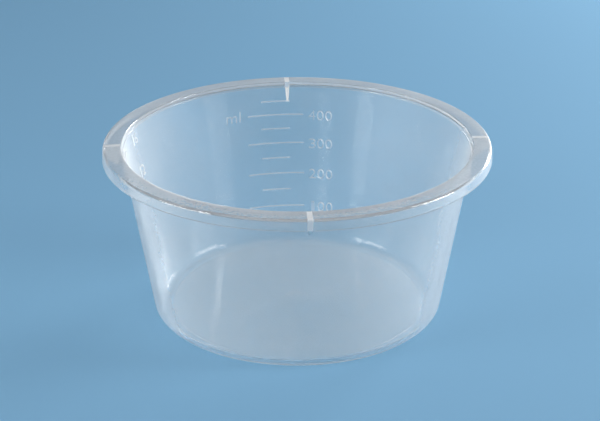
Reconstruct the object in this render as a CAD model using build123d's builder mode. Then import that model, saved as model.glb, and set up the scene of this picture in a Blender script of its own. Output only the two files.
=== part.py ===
"""Sterile round bowl: a 500 ml graduated bowl, injection-moulded in one piece.

Millimetres, +Z up. The origin is the centre of the foot on the table, and the
four stacking ribs lie on the X and Y axes.
"""
import os
from math import degrees, pi, radians, sqrt, tan

from build123d import *

# Whole bowl
RIM_DIAMETER = 131.0
HEIGHT = 60.5

# Wall, a cone outside and in, with its thickness measured level
OUTER_DRAFT = 9.6
INNER_DRAFT = 10.65
WALL_AT_LIP = 0.65

# Floor, and the foot ring that it is raised on
FLOOR_THICKNESS = 1.25
FOOT_HEIGHT = 0.6
FOOT_WIDTH = 2.2
BASE_CORNER_RADIUS = 4.4
INNER_CORNER_RADIUS = 3.0

# Mark left by the gate, a stub in a shallow well under the floor
GATE_WELL_DIAMETER = 8.0
GATE_WELL_DEPTH = 0.35
GATE_DIAMETER = 1.6
GATE_STUB = 0.25

# Rim, a flange with a skirt turned down round it
RIM_WIDTH = 6.85
FLANGE_THICKNESS = 1.05
FLANGE_FALL = 0.2
SHOULDER_RADIUS = 1.0
SKIRT_DEPTH = 4.05
SKIRT_THICKNESS = 1.0
SKIRT_DRAFT = 5.0
CHANNEL_CHAMFER = 0.5
EDGE_CHAMFER = 0.25

# Small ledge inside the lip, which marks 500 ml
LEDGE_DEPTH = 1.85
LEDGE_WIDTH = 0.25

# Ribs under the rim, on whose feet a bowl stands in the one below
RIB_COUNT = 4
STACK_PITCH = 7.3
RIB_REACH = 2.2
RIB_TOP_THICKNESS = 1.7
RIB_FOOT_THICKNESS = 0.7
RIB_FOOT_ROUNDNESS = 0.9

# Raised lines of the two scales inside the wall
LINE_WIDTH = 0.5
LINE_RELIEF = 0.2
LONG_LINE = 20.5
SHORT_LINE = 10.5
SCALE_OFFSET = 4.5
SCALE_HEADROOM = 2.0
MILLILITRE = 1000.0
MILLILITRE_STEP = 50
MILLILITRE_AZIMUTH = 90
OUNCE = 29573.5
OUNCE_STEP = 2
OUNCE_AZIMUTH = 180
LEVEL_TOLERANCE = 0.001

# Levels that follow
rim_radius = RIM_DIAMETER / 2
floor_top = FOOT_HEIGHT + FLOOR_THICKNESS
ledge_height = HEIGHT - LEDGE_DEPTH
shoulder_height = HEIGHT - FLANGE_FALL
flange_underside = shoulder_height - FLANGE_THICKNESS
skirt_bottom = HEIGHT - SKIRT_DEPTH
rib_bottom = HEIGHT - STACK_PITCH


def inner_radius(height):
    """Radius of the inside of the wall."""
    return rim_radius - RIM_WIDTH - (HEIGHT - height) * tan(radians(INNER_DRAFT))


def outer_radius(height):
    """Radius of the outside of the wall."""
    lip = inner_radius(HEIGHT) + WALL_AT_LIP
    return lip - (HEIGHT - height) * tan(radians(OUTER_DRAFT))


def wall_middle(height):
    """Radius halfway through the wall."""
    return (inner_radius(height) + outer_radius(height)) / 2


def skirt_radius(height):
    """Radius of the outside of the skirt, which widens downwards."""
    return rim_radius - (height - skirt_bottom) * tan(radians(SKIRT_DRAFT))


def volume_below(level, slices=200):
    """Volume that the bowl holds when it is filled to a level."""
    thickness = (level - floor_top) / slices
    volume = 0.0
    for index in range(slices):
        depth = (index + 0.5) * thickness
        radius = inner_radius(floor_top + depth)
        if depth < INNER_CORNER_RADIUS:
            rise = INNER_CORNER_RADIUS - depth
            radius -= INNER_CORNER_RADIUS - sqrt(INNER_CORNER_RADIUS**2 - rise**2)
        volume += pi * radius**2 * thickness
    return volume


def level_of(volume):
    """Height of the surface when the bowl holds a volume."""
    low = floor_top
    high = HEIGHT
    while high - low > LEVEL_TOLERANCE:
        middle = (low + high) / 2
        if volume_below(middle) < volume:
            low = middle
        else:
            high = middle
    return (low + high) / 2


def graduation(height, length, azimuth):
    """One raised line, its middle to the left of the azimuth as seen from the centre."""
    radius = inner_radius(height)
    lower = height - LINE_WIDTH / 2
    upper = height + LINE_WIDTH / 2
    sweep = degrees(length / radius)
    start = azimuth + degrees(SCALE_OFFSET / radius) - sweep / 2
    with BuildPart() as line:
        with BuildSketch(Plane.XZ.rotated((0, 0, start))):
            with BuildLine():
                Polyline(
                    (inner_radius(lower) - LINE_RELIEF, lower),
                    (wall_middle(lower), lower),
                    (wall_middle(upper), upper),
                    (inner_radius(upper) - LINE_RELIEF, upper),
                    close=True,
                )
            make_face()
        revolve(axis=Axis.Z, revolution_arc=sweep)
    return line.part


def scale(unit, step, azimuth):
    """Lines at each step of a unit of volume, every second one long."""
    lines = []
    count = 1
    level = level_of(step * unit)
    while level < ledge_height - SCALE_HEADROOM:
        length = SHORT_LINE if count % 2 else LONG_LINE
        lines.append(graduation(level, length, azimuth))
        count += 1
        level = level_of(count * step * unit)
    return lines


# Stacking rib, seen along the radius: drafted sides and a round foot
with BuildPart() as rib:
    with BuildSketch(Plane.YZ):
        with BuildLine():
            sides = FilletPolyline(
                (-RIB_TOP_THICKNESS / 2, flange_underside),
                (-RIB_FOOT_THICKNESS / 2, rib_bottom),
                (RIB_FOOT_THICKNESS / 2, rib_bottom),
                (RIB_TOP_THICKNESS / 2, flange_underside),
                radius=RIB_FOOT_ROUNDNESS * RIB_FOOT_THICKNESS / 2,
            )
            Line(sides @ 1, sides @ 0)
        make_face()
    extrude(amount=rim_radius)
    # Seen from the side: a level foot by the wall, then a slope up to the skirt
    with BuildSketch(Plane.XZ):
        with BuildLine():
            Polyline(
                (wall_middle(rib_bottom), rib_bottom),
                (outer_radius(rib_bottom) + RIB_REACH, rib_bottom),
                (skirt_radius(skirt_bottom) - SKIRT_THICKNESS / 2, skirt_bottom + EDGE_CHAMFER),
                (skirt_radius(flange_underside) - SKIRT_THICKNESS / 2, flange_underside),
                (wall_middle(flange_underside), flange_underside),
                close=True,
            )
        make_face()
    extrude(amount=RIB_TOP_THICKNESS, both=True, mode=Mode.INTERSECT)

millilitre_lines = scale(MILLILITRE, MILLILITRE_STEP, MILLILITRE_AZIMUTH)
ounce_lines = scale(OUNCE, OUNCE_STEP, OUNCE_AZIMUTH)

# Corners that are only eased by a small chamfer
foot_outer = outer_radius(0) - BASE_CORNER_RADIUS * tan(radians(45 - OUTER_DRAFT / 2))
foot_inner = foot_outer - FOOT_WIDTH
foot_edge = (foot_inner, 0)
channel_inside = (outer_radius(flange_underside), flange_underside)
channel_outside = (skirt_radius(flange_underside) - SKIRT_THICKNESS, flange_underside)
skirt_inner_edge = (rim_radius - SKIRT_THICKNESS, skirt_bottom)
skirt_outer_edge = (rim_radius, skirt_bottom)
lip = (inner_radius(HEIGHT) + LEDGE_WIDTH, HEIGHT)

# Corners of the turned section, from the gate round to the floor, each with its rounding
well_top = FOOT_HEIGHT + GATE_WELL_DEPTH
section = [
    ((0, well_top - GATE_STUB), 0),
    ((GATE_DIAMETER / 2, well_top - GATE_STUB), 0),
    ((GATE_DIAMETER / 2, well_top), 0),
    ((GATE_WELL_DIAMETER / 2, well_top), 0),
    ((GATE_WELL_DIAMETER / 2, FOOT_HEIGHT), 0),
    ((foot_inner, FOOT_HEIGHT), 0),
    (foot_edge, 0),
    ((outer_radius(0), 0), BASE_CORNER_RADIUS),
    (channel_inside, 0),
    (channel_outside, 0),
    (skirt_inner_edge, 0),
    (skirt_outer_edge, 0),
    ((skirt_radius(shoulder_height), shoulder_height), SHOULDER_RADIUS),
    (lip, 0),
    ((inner_radius(ledge_height) + LEDGE_WIDTH, ledge_height), 0),
    ((inner_radius(ledge_height), ledge_height), 0),
    ((inner_radius(floor_top), floor_top), INNER_CORNER_RADIUS),
    ((0, floor_top), 0),
]

# The bowl: the section turned round the axis, with its ribs and scales
with BuildPart() as bowl:
    with BuildSketch(Plane.XZ):
        with BuildLine():
            FilletPolyline(
                *[corner for corner, rounding in section],
                radius=[rounding for corner, rounding in section],
                close=True,
            )
        make_face()
        for corner in (foot_edge, channel_outside, skirt_inner_edge, skirt_outer_edge, lip):
            chamfer(vertices().sort_by_distance(corner)[0], EDGE_CHAMFER)
        chamfer(vertices().sort_by_distance(channel_inside)[0], CHANNEL_CHAMFER)
    revolve(axis=Axis.Z)
    with PolarLocations(0, RIB_COUNT):
        add(rib.part)
    add(millilitre_lines)
    add(ounce_lines)

os.makedirs("parts", exist_ok=True)
bowl.part.label = "bowl"
export_step(bowl.part, "parts/bowl.step")
brimful = volume_below(HEIGHT) / MILLILITRE
print("plastic", round(bowl.part.volume / MILLILITRE, 1), "ml, holds", round(brimful), "ml to the brim")
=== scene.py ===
from math import ceil, cos, pi, radians, sin, sqrt, tan

import bmesh
import bpy
from mathutils import Matrix, Vector


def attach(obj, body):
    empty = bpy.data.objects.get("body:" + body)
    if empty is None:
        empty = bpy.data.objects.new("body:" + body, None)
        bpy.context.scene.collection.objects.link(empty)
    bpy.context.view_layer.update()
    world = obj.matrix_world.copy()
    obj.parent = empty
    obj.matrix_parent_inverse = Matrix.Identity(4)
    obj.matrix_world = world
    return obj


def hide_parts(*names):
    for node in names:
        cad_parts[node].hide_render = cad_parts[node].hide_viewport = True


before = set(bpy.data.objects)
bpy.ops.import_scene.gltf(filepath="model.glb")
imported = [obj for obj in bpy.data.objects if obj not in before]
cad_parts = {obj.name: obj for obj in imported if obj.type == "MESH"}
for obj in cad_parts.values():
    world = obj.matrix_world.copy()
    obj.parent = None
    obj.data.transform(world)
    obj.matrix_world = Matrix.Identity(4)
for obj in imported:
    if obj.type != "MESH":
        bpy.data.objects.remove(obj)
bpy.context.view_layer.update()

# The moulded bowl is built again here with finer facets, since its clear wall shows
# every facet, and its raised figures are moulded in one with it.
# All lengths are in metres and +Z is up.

MM = 0.001

# Sizes of the bowl, the same as in its solid
RIM_DIAMETER = 131.0 * MM
HEIGHT = 60.5 * MM
OUTER_DRAFT = 9.6
INNER_DRAFT = 10.65
WALL_AT_LIP = 0.65 * MM
FLOOR_THICKNESS = 1.25 * MM
FOOT_HEIGHT = 0.6 * MM
FOOT_WIDTH = 2.2 * MM
BASE_CORNER_RADIUS = 4.4 * MM
INNER_CORNER_RADIUS = 3.0 * MM
GATE_WELL_DIAMETER = 8.0 * MM
GATE_WELL_DEPTH = 0.35 * MM
GATE_DIAMETER = 1.6 * MM
GATE_STUB = 0.25 * MM
RIM_WIDTH = 6.85 * MM
FLANGE_THICKNESS = 1.05 * MM
FLANGE_FALL = 0.2 * MM
SHOULDER_RADIUS = 1.0 * MM
SKIRT_DEPTH = 4.05 * MM
SKIRT_THICKNESS = 1.0 * MM
SKIRT_DRAFT = 5.0
CHANNEL_RADIUS = 0.8 * MM
EDGE_RADIUS = 0.3 * MM
LEDGE_DEPTH = 1.85 * MM
LEDGE_WIDTH = 0.25 * MM
RIB_COUNT = 4
STACK_PITCH = 7.3 * MM
RIB_REACH = 2.2 * MM
RIB_TOP_THICKNESS = 1.7 * MM
RIB_FOOT_THICKNESS = 0.7 * MM
RIB_FOOT_ROUNDNESS = 0.9
LINE_WIDTH = 0.5 * MM
LINE_RELIEF = 0.2 * MM
LONG_LINE = 20.5 * MM
SHORT_LINE = 10.5 * MM
SCALE_OFFSET = 4.5 * MM
SCALE_HEADROOM = 2.0 * MM
MILLILITRE = 1000.0 * MM**3
MILLILITRE_STEP = 50
MILLILITRE_AZIMUTH = 90
OUNCE = 29573.5 * MM**3
OUNCE_STEP = 2
OUNCE_AZIMUTH = 180
LEVEL_TOLERANCE = 0.001 * MM

# Figures of the scales, which stand to the right of their long lines. Each size is a width and
# a height, and each start is measured to the right of the middle of its scale.
DIGIT_RELIEF = 0.25 * MM
STROKE_THINNING = 0.012
NARROW_DIGIT = 0.5
DIGIT_DROP = 0.25 * MM
MILLILITRE_DIGIT = (2.45 * MM, 3.4 * MM)
MILLILITRE_PITCH = 3.05 * MM
MILLILITRE_START = 7.7 * MM
OUNCE_DIGIT = (2.2 * MM, 3.7 * MM)
OUNCE_PITCH = 2.7 * MM
OUNCE_START = 15.0 * MM
UNIT_TEXT = "ml"
UNIT_START = -23.2 * MM
UNIT_SIZE = (5.6 * MM, 3.7 * MM)
UNIT_VOLUME = 400
UNIT_RISE = 0.3 * MM

# Fineness of the meshes
SEGMENTS = 360
ARC_STEP = radians(12)
LONGEST_FACE = 3.0 * MM
LINE_STEP = 1.0 * MM
MERGE_DISTANCE = 0.00001
SHARP_ANGLE = radians(32)

# Levels that follow
rim_radius = RIM_DIAMETER / 2
floor_top = FOOT_HEIGHT + FLOOR_THICKNESS
ledge_height = HEIGHT - LEDGE_DEPTH
shoulder_height = HEIGHT - FLANGE_FALL
flange_underside = shoulder_height - FLANGE_THICKNESS
skirt_bottom = HEIGHT - SKIRT_DEPTH
rib_bottom = HEIGHT - STACK_PITCH


def inner_radius(height):
    """Radius of the inside of the wall."""
    return rim_radius - RIM_WIDTH - (HEIGHT - height) * tan(radians(INNER_DRAFT))


def outer_radius(height):
    """Radius of the outside of the wall."""
    lip = inner_radius(HEIGHT) + WALL_AT_LIP
    return lip - (HEIGHT - height) * tan(radians(OUTER_DRAFT))


def wall_middle(height):
    """Radius halfway through the wall."""
    return (inner_radius(height) + outer_radius(height)) / 2


def skirt_radius(height):
    """Radius of the outside of the skirt, which widens downwards."""
    return rim_radius - (height - skirt_bottom) * tan(radians(SKIRT_DRAFT))


def volume_below(level, slices=200):
    """Volume that the bowl holds when it is filled to a level."""
    thickness = (level - floor_top) / slices
    volume = 0.0
    for index in range(slices):
        depth = (index + 0.5) * thickness
        radius = inner_radius(floor_top + depth)
        if depth < INNER_CORNER_RADIUS:
            rise = INNER_CORNER_RADIUS - depth
            radius -= INNER_CORNER_RADIUS - sqrt(INNER_CORNER_RADIUS**2 - rise**2)
        volume += pi * radius**2 * thickness
    return volume


def level_of(volume):
    """Height of the surface when the bowl holds a volume."""
    low = floor_top
    high = HEIGHT
    while high - low > LEVEL_TOLERANCE:
        middle = (low + high) / 2
        if volume_below(middle) < volume:
            low = middle
        else:
            high = middle
    return (low + high) / 2


def rounded(corners):
    """Points of an outline whose corners are (point, rounding), with arcs at the roundings."""
    points = []
    for index, (corner, rounding) in enumerate(corners):
        corner = Vector(corner)
        if not rounding:
            points.append(corner)
            continue
        before = (Vector(corners[index - 1][0]) - corner).normalized()
        after = (Vector(corners[index + 1][0]) - corner).normalized()
        half = before.angle(after) / 2
        centre = corner + (before + after).normalized() * rounding / sin(half)
        start = corner + before * rounding / tan(half) - centre
        turn = start.angle_signed(corner + after * rounding / tan(half) - centre)
        steps = ceil(abs(turn) / ARC_STEP)
        for step in range(steps + 1):
            points.append(centre + Matrix.Rotation(-turn * step / steps, 2) @ start)
    return points


def divided(points, longest):
    """The same outline with its long straight stretches divided."""
    result = [points[0]]
    for start, end in zip(points, points[1:]):
        pieces = ceil((end - start).length / longest)
        result += [start.lerp(end, piece / pieces) for piece in range(1, pieces + 1)]
    return result


def turned(mesh, points, segments):
    """Adds the surface that an outline sweeps round Z. Points on the axis are shared."""
    rings = []
    for radius, height in points:
        if radius < LEVEL_TOLERANCE:
            rings.append([mesh.verts.new((0, 0, height))] * segments)
            continue
        ring = []
        for index in range(segments):
            angle = 2 * pi * index / segments
            ring.append(mesh.verts.new((radius * cos(angle), radius * sin(angle), height)))
        rings.append(ring)
    for lower, upper in zip(rings, rings[1:]):
        for index in range(segments):
            following = (index + 1) % segments
            corners = [lower[index], lower[following], upper[following], upper[index]]
            mesh.faces.new(list(dict.fromkeys(corners)))


def on_wall(azimuth, across, height, depth):
    """A point by its distance along the wall, to the right of an azimuth seen from the centre."""
    radius = inner_radius(height)
    angle = radians(azimuth) - across / radius
    return Vector(((radius + depth) * cos(angle), (radius + depth) * sin(angle), height))


def add_bar(mesh, rows, clear_sides=()):
    """Adds a closed bar through rows of points, each row being one of its cross-sections.

    Its clear sides take the second material.
    """
    rings = [[mesh.verts.new(point) for point in row] for row in rows]
    for ring, following in zip(rings, rings[1:]):
        for index in range(len(ring)):
            after = (index + 1) % len(ring)
            face = mesh.faces.new((ring[index], ring[after], following[after], following[index]))
            face.material_index = int(index in clear_sides)
    mesh.faces.new(rings[0])
    mesh.faces.new(rings[-1])


def add_line(mesh, height, length, azimuth):
    """Adds one raised line, its middle to the left of the azimuth."""
    lower = height - LINE_WIDTH / 2
    upper = height + LINE_WIDTH / 2
    sunk = (outer_radius(height) - inner_radius(height)) / 2
    steps = ceil(length / LINE_STEP)
    rows = []
    for step in range(steps + 1):
        across = length * (step / steps - 0.5) - SCALE_OFFSET
        rows.append([
            on_wall(azimuth, across, lower, -LINE_RELIEF),
            on_wall(azimuth, across, lower, sunk),
            on_wall(azimuth, across, upper, sunk),
            on_wall(azimuth, across, upper, -LINE_RELIEF),
        ])
    add_bar(mesh, rows)


def flat_outline(text):
    """A text as a flat mesh, with its lowest and highest corner."""
    curve = bpy.data.curves.new("figure_outline", "FONT")
    curve.body = text
    curve.fill_mode = "FRONT"
    curve.offset = -STROKE_THINNING
    carrier = bpy.data.objects.new("figure_outline", curve)
    flat = bmesh.new()
    flat.from_mesh(carrier.to_mesh())
    carrier.to_mesh_clear()
    bpy.data.objects.remove(carrier)
    bpy.data.curves.remove(curve)
    bmesh.ops.remove_doubles(flat, verts=flat.verts, dist=MERGE_DISTANCE)
    xs = [vertex.co.x for vertex in flat.verts]
    ys = [vertex.co.y for vertex in flat.verts]
    return flat, Vector((min(xs), min(ys))), Vector((max(xs), max(ys)))


def add_raised_text(mesh, text, size, across, height, azimuth):
    """Adds raised text, as wide and high as size, its lower left corner at a place on the wall."""
    flat, low, high = flat_outline(text)
    tops = {}
    feet = {}
    for vertex in flat.verts:
        x = across + (vertex.co.x - low.x) / (high.x - low.x) * size[0]
        z = height + (vertex.co.y - low.y) / (high.y - low.y) * size[1]
        tops[vertex] = mesh.verts.new(on_wall(azimuth, x, z, -DIGIT_RELIEF))
        feet[vertex] = mesh.verts.new(on_wall(azimuth, x, z, DIGIT_RELIEF))
    for face in flat.faces:
        mesh.faces.new([tops[vertex] for vertex in face.verts])
        mesh.faces.new([feet[vertex] for vertex in reversed(face.verts)])
    for edge in flat.edges:
        if edge.is_boundary:
            start, end = edge.verts
            mesh.faces.new((tops[start], tops[end], feet[end], feet[start]))
    flat.free()


def add_number(mesh, number, digit, pitch, start, level, azimuth):
    """Adds a number whose digits stand side by side at an even pitch."""
    for place, figure in enumerate(str(number)):
        width = digit[0] * NARROW_DIGIT if figure == "1" else digit[0]
        across = start + place * pitch + (digit[0] - width) / 2
        foot = level - DIGIT_DROP - digit[1] / 2
        add_raised_text(mesh, figure, (width, digit[1]), across, foot, azimuth)


def add_scale(mesh, unit, step, azimuth, digit, pitch, start):
    """Adds the lines at each step of a unit of volume, every second one long and with its number."""
    count = 1
    level = level_of(step * unit)
    while level < ledge_height - SCALE_HEADROOM:
        if count % 2:
            add_line(mesh, level, SHORT_LINE, azimuth)
        else:
            add_line(mesh, level, LONG_LINE, azimuth)
            add_number(mesh, count * step, digit, pitch, start, level, azimuth)
        count += 1
        level = level_of(count * step * unit)


def add_rib(mesh, azimuth):
    """Adds one stacking rib: drafted sides, a round foot and a slope up to the skirt."""
    foot_round = RIB_FOOT_ROUNDNESS * RIB_FOOT_THICKNESS / 2
    sides = rounded([
        ((0, rib_bottom), 0),
        ((RIB_FOOT_THICKNESS / 2, rib_bottom), foot_round),
        ((RIB_TOP_THICKNESS / 2, flange_underside), 0),
    ])
    sides = divided(sides[1:], LINE_STEP)
    foot_end = outer_radius(rib_bottom) + RIB_REACH
    slope_end = skirt_radius(skirt_bottom) - SKIRT_THICKNESS / 2
    slope_top = skirt_bottom + EDGE_RADIUS
    sides.append(sides[-1] + Vector((0, FLANGE_THICKNESS / 2)))
    place = Matrix.Rotation(radians(azimuth), 3, "Z")
    rows = []
    for half, height in sides:
        share = min(1, (height - rib_bottom) / (slope_top - rib_bottom))
        reach = foot_end + (slope_end - foot_end) * share
        root = wall_middle(min(height, flange_underside))
        corners = [(root, -half), (reach, -half), (reach, half), (root, half)]
        rows.append([place @ Vector((x, y, height)) for x, y in corners])
    # The flat sides are clear, and the two edges between them show dense
    add_bar(mesh, rows, clear_sides=(0, 2))


def mesh_object(name, mesh):
    """A new object from a bmesh, with its faces turned outwards."""
    bmesh.ops.recalc_face_normals(mesh, faces=mesh.faces)
    data = bpy.data.meshes.new(name)
    mesh.to_mesh(data)
    mesh.free()
    item = bpy.data.objects.new(name, data)
    bpy.context.scene.collection.objects.link(item)
    return item


def join(item, mesh, materials):
    """Unites an object with a bmesh, whose faces keep their own materials."""
    extra = mesh_object("joined_form", mesh)
    for material in materials:
        extra.data.materials.append(material)
    union = item.modifiers.new("union", "BOOLEAN")
    union.operation = "UNION"
    union.solver = "MANIFOLD"
    union.material_mode = "TRANSFER"
    union.object = extra
    depsgraph = bpy.context.evaluated_depsgraph_get()
    joined = bpy.data.meshes.new_from_object(item.evaluated_get(depsgraph))
    item.modifiers.clear()
    item.data = joined
    bpy.data.objects.remove(extra)


def moulded_bowl():
    """The bowl as one closed mesh, with its ribs and scales joined to the turned body."""
    foot_outer = outer_radius(0) - BASE_CORNER_RADIUS * tan(radians(45 - OUTER_DRAFT / 2))
    foot_inner = foot_outer - FOOT_WIDTH
    well_top = FOOT_HEIGHT + GATE_WELL_DEPTH
    section = [
        ((0, well_top - GATE_STUB), 0),
        ((GATE_DIAMETER / 2, well_top - GATE_STUB), 0),
        ((GATE_DIAMETER / 2, well_top), 0),
        ((GATE_WELL_DIAMETER / 2, well_top), 0),
        ((GATE_WELL_DIAMETER / 2, FOOT_HEIGHT), 0),
        ((foot_inner, FOOT_HEIGHT), 0),
        ((foot_inner, 0), EDGE_RADIUS),
        ((outer_radius(0), 0), BASE_CORNER_RADIUS),
        ((outer_radius(flange_underside), flange_underside), CHANNEL_RADIUS),
        ((skirt_radius(flange_underside) - SKIRT_THICKNESS, flange_underside), EDGE_RADIUS),
        ((rim_radius - SKIRT_THICKNESS, skirt_bottom), EDGE_RADIUS),
        ((rim_radius, skirt_bottom), EDGE_RADIUS),
        ((skirt_radius(shoulder_height), shoulder_height), SHOULDER_RADIUS),
        ((inner_radius(HEIGHT) + LEDGE_WIDTH, HEIGHT), EDGE_RADIUS),
        ((inner_radius(ledge_height) + LEDGE_WIDTH, ledge_height), 0),
        ((inner_radius(ledge_height), ledge_height), 0),
        ((inner_radius(floor_top), floor_top), INNER_CORNER_RADIUS),
        ((0, floor_top), 0),
    ]
    body = bmesh.new()
    turned(body, divided(rounded(section), LONGEST_FACE), SEGMENTS)
    bowl = mesh_object("moulded_bowl", body)
    plastic = polypropylene("polypropylene_clear", WALL_HAZE)
    bowl.data.materials.append(plastic)

    ribs = bmesh.new()
    for index in range(RIB_COUNT):
        add_rib(ribs, 360 / RIB_COUNT * index)
    join(bowl, ribs, [polypropylene("polypropylene_dense", RIB_HAZE), plastic])

    details = bmesh.new()
    add_scale(details, MILLILITRE, MILLILITRE_STEP, MILLILITRE_AZIMUTH,
              MILLILITRE_DIGIT, MILLILITRE_PITCH, MILLILITRE_START)
    add_scale(details, OUNCE, OUNCE_STEP, OUNCE_AZIMUTH,
              OUNCE_DIGIT, OUNCE_PITCH, OUNCE_START)
    unit_foot = level_of(UNIT_VOLUME * MILLILITRE) + UNIT_RISE - UNIT_SIZE[1] / 2
    add_raised_text(details, UNIT_TEXT, UNIT_SIZE, UNIT_START, unit_foot, MILLILITRE_AZIMUTH)
    join(bowl, details, [polypropylene("polypropylene_grained", DETAIL_HAZE)])
    bowl.data.shade_smooth()
    bowl.data.set_sharp_from_angle(angle=SHARP_ANGLE)
    return bowl


# Material: natural polypropylene, clear with a milky haze and a fine grain. Each haze is the
# share of light that the plastic scatters, and each noise has its scale in waves a metre, its
# detail and its roughness.
PLASTIC_COLOUR = (0.93, 0.935, 0.93, 1)
PLASTIC_IOR = 1.49
GLOSS_ROUGHNESS = 0.03
COAT_WEIGHT = 0.4
COAT_ROUGHNESS = 0.40
SHADE = 0.10
WALL_HAZE = 0.06
DETAIL_HAZE = 0.29
RIB_HAZE = 0.9
RIM_HAZE = 0.03
BAND_HAZE = 0.5
EDGE_HAZE = 0.7
EDGE_POWER = 2.5
CLOUD_NOISE = (40, 6, 0.65)
CLOUD_SPREAD = 0.03
SPECKLE_NOISE = (1500, 1, 0.5)
SPECKLE_SPREAD = 0.02
NOISE_RANGE = (0.3, 0.7)
WAVE_NOISE = (90, 2, 0.5)
WAVE_STRENGTH = 0.05
GRAIN_NOISE = (1400, 3, 0.5)
COAT_GRAIN_STRENGTH = 0.5
GLOSS_GRAIN_STRENGTH = 0.07
BUMP_DEPTH = 0.1 * MM


def fill(tree, node, inputs):
    """Sets a node's inputs, each to a value or from the output of another node."""
    for name, value in inputs.items():
        if isinstance(value, bpy.types.NodeSocket):
            tree.links.new(value, node.inputs[name])
        else:
            node.inputs[name].default_value = value
    return node


def put(tree, kind, inputs):
    """Adds a node with its inputs."""
    return fill(tree, tree.nodes.new("ShaderNode" + kind), inputs)


def combine(tree, operation, first, second=0.0, clamp=False):
    """The result of a sum on two values."""
    node = put(tree, "Math", {0: first, 1: second})
    node.operation = operation
    node.use_clamp = clamp
    return node.outputs["Value"]


def noise(tree, place, scale, detail, roughness):
    """A noise through the space of the object."""
    inputs = {"Vector": place, "Scale": scale, "Detail": detail, "Roughness": roughness}
    return put(tree, "TexNoise", inputs).outputs["Fac"]


def spread(tree, value, middle, reach):
    """A noise brought to a middle value, give or take its reach."""
    low, high = NOISE_RANGE
    inputs = {"Value": value, "From Min": low, "From Max": high,
              "To Min": middle - reach, "To Max": middle + reach}
    return put(tree, "MapRange", inputs).outputs["Result"]


def polypropylene(name, haze):
    """The plastic, with its haze where it is thin and is seen square on."""
    material = bpy.data.materials.new(name)
    material.use_nodes = True
    tree = material.node_tree
    place = put(tree, "TexCoord", {}).outputs["Object"]

    # Light passes through the thin wall on its way to the floor
    path = put(tree, "LightPath", {})
    passing = combine(tree, "MAXIMUM", path.outputs["Is Shadow Ray"], path.outputs["Is Diffuse Ray"])
    cover = put(tree, "MapRange", {"Value": passing, "To Min": 1, "To Max": SHADE})

    # Milkiness that drifts slowly through the plastic, with a fine speckle
    clearness = spread(tree, noise(tree, place, *CLOUD_NOISE), 1 - haze, CLOUD_SPREAD)
    speckle = spread(tree, noise(tree, place, *SPECKLE_NOISE), 0, SPECKLE_SPREAD)

    # It is milkier where it is deep: in the rim, over the ribs and where it is seen edge-on
    apart = put(tree, "SeparateXYZ", {"Vector": place})
    x = combine(tree, "ABSOLUTE", apart.outputs["X"])
    y = combine(tree, "ABSOLUTE", apart.outputs["Y"])
    square = combine(tree, "ADD", combine(tree, "MULTIPLY", x, x), combine(tree, "MULTIPLY", y, y))
    radius = combine(tree, "SQRT", square)
    in_rim = combine(tree, "GREATER_THAN", radius, outer_radius(HEIGHT))
    on_rib = combine(tree, "LESS_THAN", combine(tree, "MINIMUM", x, y), RIB_TOP_THICKNESS / 2)
    band = combine(tree, "MULTIPLY", combine(tree, "MULTIPLY", in_rim, on_rib), BAND_HAZE)
    rim = combine(tree, "MULTIPLY", in_rim, RIM_HAZE)
    slant = put(tree, "LayerWeight", {}).outputs["Facing"]
    edge = combine(tree, "MULTIPLY", combine(tree, "POWER", slant, EDGE_POWER), EDGE_HAZE)
    depth = combine(tree, "ADD", combine(tree, "ADD", rim, edge), band)
    milk = combine(tree, "SUBTRACT", depth, speckle)

    # Slight waves with a fine grain in the gloss, and a stronger grain in the coat
    waves = noise(tree, place, *WAVE_NOISE)
    grain = noise(tree, place, *GRAIN_NOISE)
    wave_bump = put(tree, "Bump", {
        "Strength": WAVE_STRENGTH, "Distance": BUMP_DEPTH, "Height": waves,
    })
    gloss_bump = put(tree, "Bump", {
        "Strength": GLOSS_GRAIN_STRENGTH, "Distance": BUMP_DEPTH, "Height": grain,
        "Normal": wave_bump.outputs["Normal"],
    })
    coat_bump = put(tree, "Bump", {
        "Strength": COAT_GRAIN_STRENGTH, "Distance": BUMP_DEPTH, "Height": grain,
    })
    fill(tree, tree.nodes["Principled BSDF"], {
        "Base Color": PLASTIC_COLOUR,
        "IOR": PLASTIC_IOR,
        "Roughness": GLOSS_ROUGHNESS,
        "Alpha": cover.outputs["Result"],
        "Transmission Weight": combine(tree, "SUBTRACT", clearness, milk, clamp=True),
        "Normal": gloss_bump.outputs["Normal"],
        "Coat Weight": COAT_WEIGHT,
        "Coat Roughness": COAT_ROUGHNESS,
        "Coat IOR": PLASTIC_IOR,
        "Coat Normal": coat_bump.outputs["Normal"],
    })
    return material


# Studio: a floor that curves up into a backdrop all round, six softboxes and the world
FLOOR_COLOUR = (0.19, 0.38, 0.56, 1)
FLOOR_RADIUS = 2.6
COVE_RADIUS = 1.0
BACKDROP_HEIGHT = 2.0
FLOOR_SEGMENTS = 96
FLOOR_FACE = 0.25
FLOOR_ROUGHNESS = 0.9
FLOOR_GLOSS = 0.1
WORLD_COLOUR = (0.95, 0.97, 1.0, 1)
WORLD_STRENGTH = 0.12

# Softboxes, each with its turn, elevation, distance, width, height and power
LAMPS = [
    ("overhead", 180, 78, 1.1, 0.7, 0.7, 0.8),
    ("left", -70, 20, 1.0, 0.55, 0.35, 5.5),
    ("right", 83, 20, 1.0, 0.40, 0.35, 9.0),
    ("right_back", 139, 12, 1.0, 0.28, 0.30, 8.0),
    ("left_strip", -62, 36, 1.0, 0.07, 0.30, 1.3),
    ("right_strip", 76, 38, 1.0, 0.07, 0.30, 1.0),
]


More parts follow.
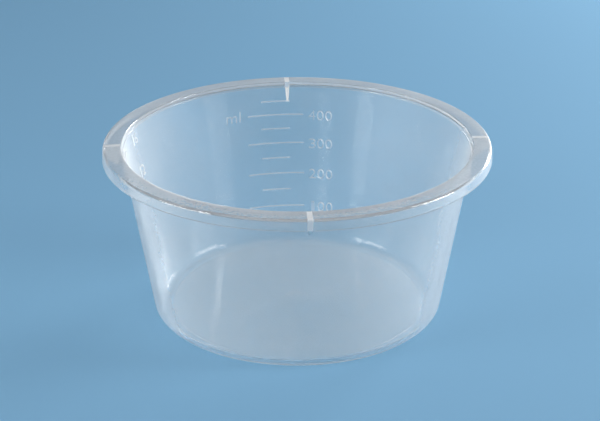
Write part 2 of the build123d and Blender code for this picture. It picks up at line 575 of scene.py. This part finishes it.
def studio_floor():
    """The floor and backdrop, which aren't part of the bowl."""
    outline = rounded([
        ((0, 0), 0),
        ((FLOOR_RADIUS, 0), COVE_RADIUS),
        ((FLOOR_RADIUS, BACKDROP_HEIGHT), 0),
    ])
    mesh = bmesh.new()
    turned(mesh, divided(outline, FLOOR_FACE), FLOOR_SEGMENTS)
    floor = mesh_object("studio_floor", mesh)
    floor.data.shade_smooth()
    material = bpy.data.materials.new("pale_floor")
    material.use_nodes = True
    fill(material.node_tree, material.node_tree.nodes["Principled BSDF"], {
        "Base Color": FLOOR_COLOUR,
        "Roughness": FLOOR_ROUGHNESS,
        "Specular IOR Level": FLOOR_GLOSS,
    })
    floor.data.materials.append(material)


def aim(item, target, turn, elevation, distance):
    """Places a lamp or camera at a distance from its target, looking at it."""
    level = cos(radians(elevation))
    direction = Vector((
        sin(radians(turn)) * level,
        -cos(radians(turn)) * level,
        sin(radians(elevation)),
    ))
    item.location = target + direction * distance
    item.rotation_euler = direction.to_track_quat("Z", "Y").to_euler()


def softbox(name, turn, elevation, distance, width, height, power):
    """A lamp aimed at the bowl. A turn of 0 stands at the camera, and 90 at its right."""
    lamp = bpy.data.lights.new(name, "AREA")
    lamp.shape = "RECTANGLE"
    lamp.size = width
    lamp.size_y = height
    lamp.energy = power
    item = bpy.data.objects.new(name, lamp)
    aim(item, Vector((0, 0, HEIGHT / 2)), turn, elevation, distance)
    item.visible_camera = False
    bpy.context.scene.collection.objects.link(item)


def world_light():
    """An even, weak light from all round."""
    world = bpy.data.worlds.new("studio")
    world.use_nodes = True
    fill(world.node_tree, world.node_tree.nodes["Background"], {
        "Color": WORLD_COLOUR,
        "Strength": WORLD_STRENGTH,
    })
    bpy.context.scene.world = world


# Camera, at the photograph's viewing angle
VIEW_TURN = -3.639
VIEW_ELEVATION = 23.641
VIEW_DISTANCE = 0.6305
VIEW_AIM = Vector((1.05, 1.67, 34.19)) * MM
LENS = 110.42
SENSOR = 36.0


def camera():
    """The photograph's camera, which is the scene's."""
    data = bpy.data.cameras.new("photograph")
    data.sensor_width = SENSOR
    data.lens = LENS
    item = bpy.data.objects.new("photograph", data)
    aim(item, VIEW_AIM, VIEW_TURN, VIEW_ELEVATION, VIEW_DISTANCE)
    bpy.context.scene.collection.objects.link(item)
    bpy.context.scene.camera = item


bowl = moulded_bowl()
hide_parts("bowl")
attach(bowl, "root")

studio_floor()
for lamp in LAMPS:
    softbox(*lamp)
world_light()
camera()
bpy.context.scene.view_settings.view_transform = "Standard"
